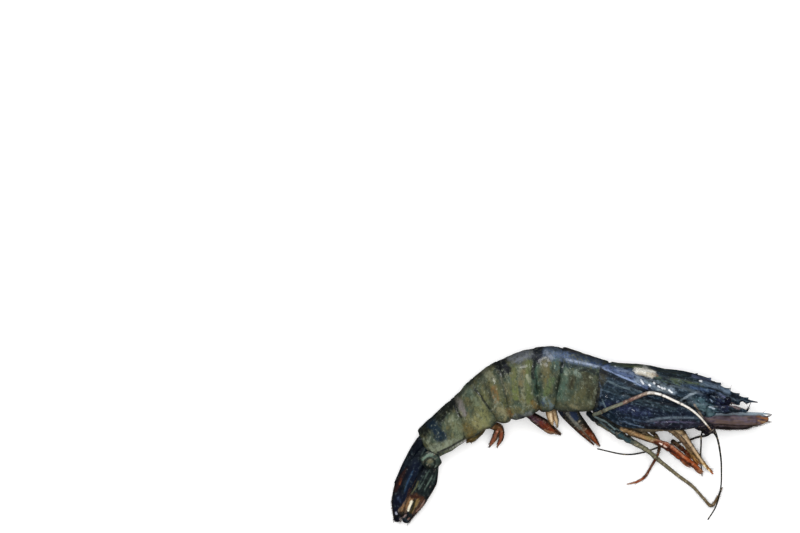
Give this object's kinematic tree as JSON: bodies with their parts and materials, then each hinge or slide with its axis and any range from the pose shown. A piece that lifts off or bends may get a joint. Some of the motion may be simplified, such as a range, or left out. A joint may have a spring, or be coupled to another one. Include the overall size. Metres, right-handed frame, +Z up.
{
  "type": "raw tiger prawn",
  "caption": "Whole raw tiger prawn lying on its left side: toothed carapace, jointed curved tail, folded legs, swimmerets, whips and closed tail fan; food to cook, serve or display",
  "frame": {"origin": "on the surface that the prawn lies on, under the middle of its outline", "axes": "+X towards the head, +Y towards the back, +Z up out of the surface, which is the prawn's right side"},
  "size_m": [0.2129, 0.0999, 0.0298],
  "materials": {
    "navy_shell": "wet blue-black shell with olive clouds",
    "olive_shell": "wet grey-green shell with ochre and teal mottling",
    "tail_shell": "wet blue-black with a rusty, golden-tipped edge",
    "eye": "glossy black on a dark stalk",
    "olive_limb": "grey-green, pinkish brown at the joints",
    "rust_limb": "rusty red-brown, darker towards the root",
    "tan_limb": "tan with darker joints",
    "dark_limb": "near-black whips",
    "lilac_blade": "grey-lilac with a blue-green rib and an orange-tan tip"
  },
  "bodies": {
    "root": {"antenna_left": "dark_limb", "antenna_right": "dark_limb", "antennal_scale_left": "lilac_blade", "antennal_scale_right": "lilac_blade", "antennule_left": "navy_shell", "antennule_right": "navy_shell", "carapace": "navy_shell", "eye_left": "eye", "eye_right": "eye", "head_core": "navy_shell", "leg_1_left": "tan_limb", "leg_1_right": "tan_limb", "leg_2_left": "rust_limb", "leg_2_right": "rust_limb", "leg_3_left": "rust_limb", "leg_3_right": "rust_limb", "leg_4_left": "rust_limb", "leg_4_right": "olive_limb", "leg_5_left": "olive_limb", "leg_5_right": "olive_limb", "maxilliped_left": "tan_limb", "maxilliped_right": "tan_limb", "swimmeret_1_left": "rust_limb", "swimmeret_1_right": "rust_limb", "swimmeret_2_left": "tan_limb", "swimmeret_2_right": "tan_limb", "swimmeret_3_left": "rust_limb", "swimmeret_3_right": "rust_limb", "swimmeret_4_left": "rust_limb", "swimmeret_4_right": "rust_limb", "swimmeret_5_left": "olive_limb", "swimmeret_5_right": "olive_limb", "tail_segment_1": "olive_shell", "tail_segment_2": "olive_shell", "tail_segment_3": "olive_shell", "tail_segment_4": "olive_shell", "tail_segment_5": "olive_shell", "tail_segment_6": "olive_shell", "telson": "tail_shell", "underbody": "navy_shell", "uropod_base_left": "tail_shell", "uropod_base_right": "tail_shell", "uropod_inner_left": "tail_shell", "uropod_inner_right": "tail_shell", "uropod_outer_left": "tail_shell", "uropod_outer_right": "tail_shell"}
  },
  "joints": []
}
